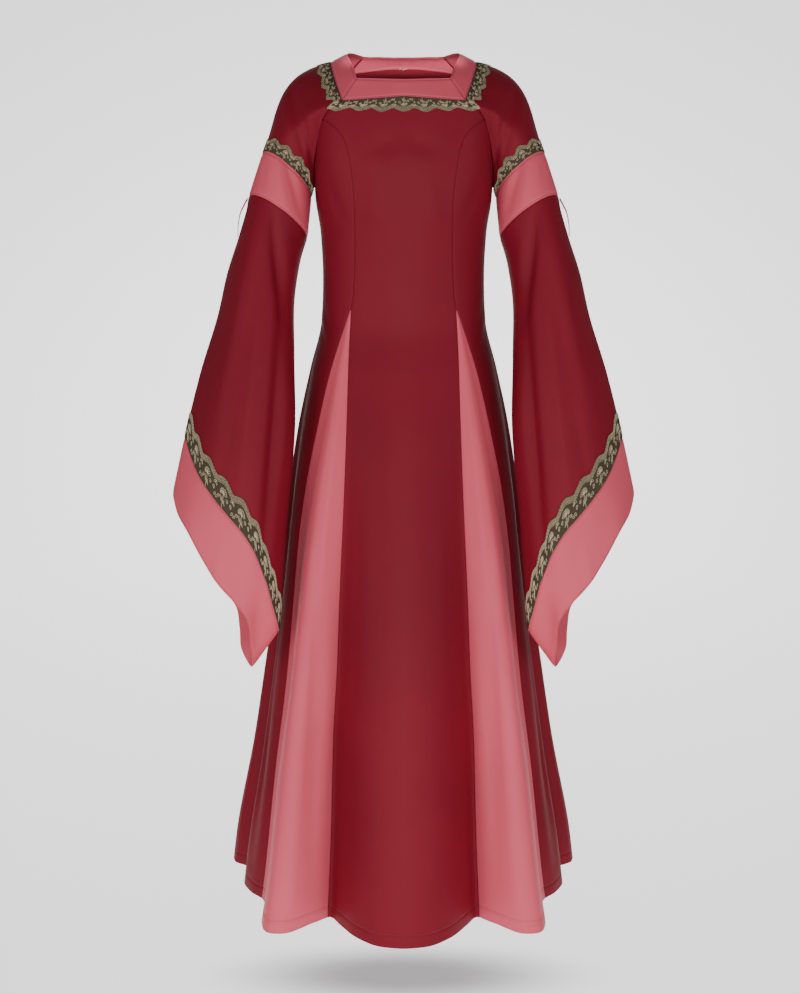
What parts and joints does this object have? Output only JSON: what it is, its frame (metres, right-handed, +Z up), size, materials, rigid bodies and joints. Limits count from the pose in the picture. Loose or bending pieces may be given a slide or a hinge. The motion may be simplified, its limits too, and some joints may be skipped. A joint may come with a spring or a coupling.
{
  "type": "medieval dress",
  "caption": "Worn-form medieval dress in satin: square banded neck with lace, raglan sleeves with arm bands, wide slanted bell cuffs and a full fluted skirt with godets.",
  "frame": {"origin": "midway between the shoulders at the height of the shoulder line, where the wearer's shoulders hold the dress", "axes": "+Z up along the wearer's height, -Y towards the wearer's front, +X towards the wearer's left"},
  "size_m": [0.7954, 0.687, 1.4532],
  "materials": {
    "burgundy_satin": "soft polyester satin, burgundy, low sheen",
    "rose_satin": "soft polyester satin, dusty rose, low sheen",
    "dark_lace": "dark olive net embroidered in pale gold thread, scalloped"
  },
  "bodies": {
    "root": {"neck_band_front": "rose_satin", "neck_band_back": "rose_satin", "neck_band_left": "rose_satin", "neck_band_right": "rose_satin", "front_centre_panel": "burgundy_satin", "back_centre_panel": "burgundy_satin", "front_side_panel_left": "burgundy_satin", "front_side_panel_right": "burgundy_satin", "back_side_panel_left": "burgundy_satin", "back_side_panel_right": "burgundy_satin", "raglan_sleeve_left": "burgundy_satin", "raglan_sleeve_right": "burgundy_satin", "lower_sleeve_left": "burgundy_satin", "lower_sleeve_right": "burgundy_satin", "front_godet_left": "rose_satin", "front_godet_right": "rose_satin", "arm_band_left": "rose_satin", "arm_band_right": "rose_satin", "cuff_band_left": "rose_satin", "cuff_band_right": "rose_satin", "sleeve_strap_left": "rose_satin", "sleeve_strap_right": "rose_satin", "neck_lace_front": "dark_lace", "neck_lace_back": "dark_lace", "neck_lace_left": "dark_lace", "neck_lace_right": "dark_lace", "arm_lace_left": "dark_lace", "arm_lace_right": "dark_lace", "cuff_lace_left": "dark_lace", "cuff_lace_right": "dark_lace"}
  },
  "joints": []
}
